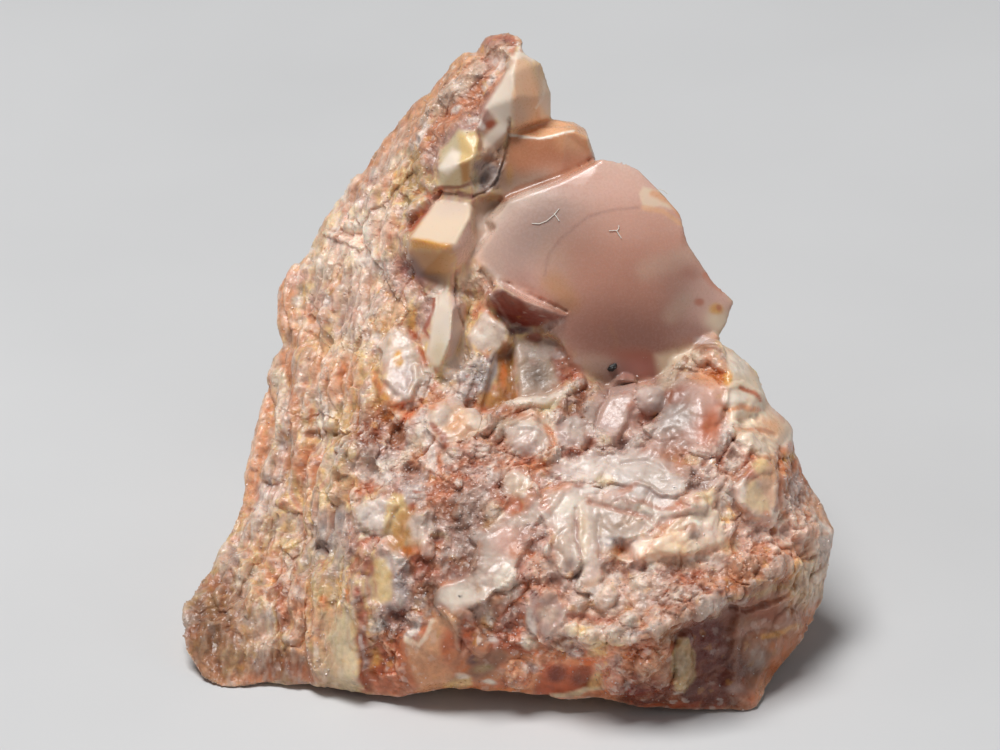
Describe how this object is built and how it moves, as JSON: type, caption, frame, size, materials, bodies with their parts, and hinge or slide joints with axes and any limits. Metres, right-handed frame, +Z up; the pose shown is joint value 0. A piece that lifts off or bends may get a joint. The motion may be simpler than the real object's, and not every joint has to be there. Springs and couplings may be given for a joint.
{
  "type": "rough opal",
  "caption": "Rough broken lump of pink and cream common opal, leaning back to a point, with one smooth curved break above a crusted lower face, at rest on its underside.",
  "frame": {"origin": "centre of the bounding box, on the level that the stone rests on", "axes": "+X to the right along the display face, +Y back through the stone, away from the display face, +Z up"},
  "size_m": [0.0262, 0.0208, 0.0216],
  "materials": {
    "opal": "broken common opal, waxy to glassy on the smooth breaks and rough elsewhere"
  },
  "bodies": {
    "root": {"rough_opal": "opal"}
  },
  "joints": []
}
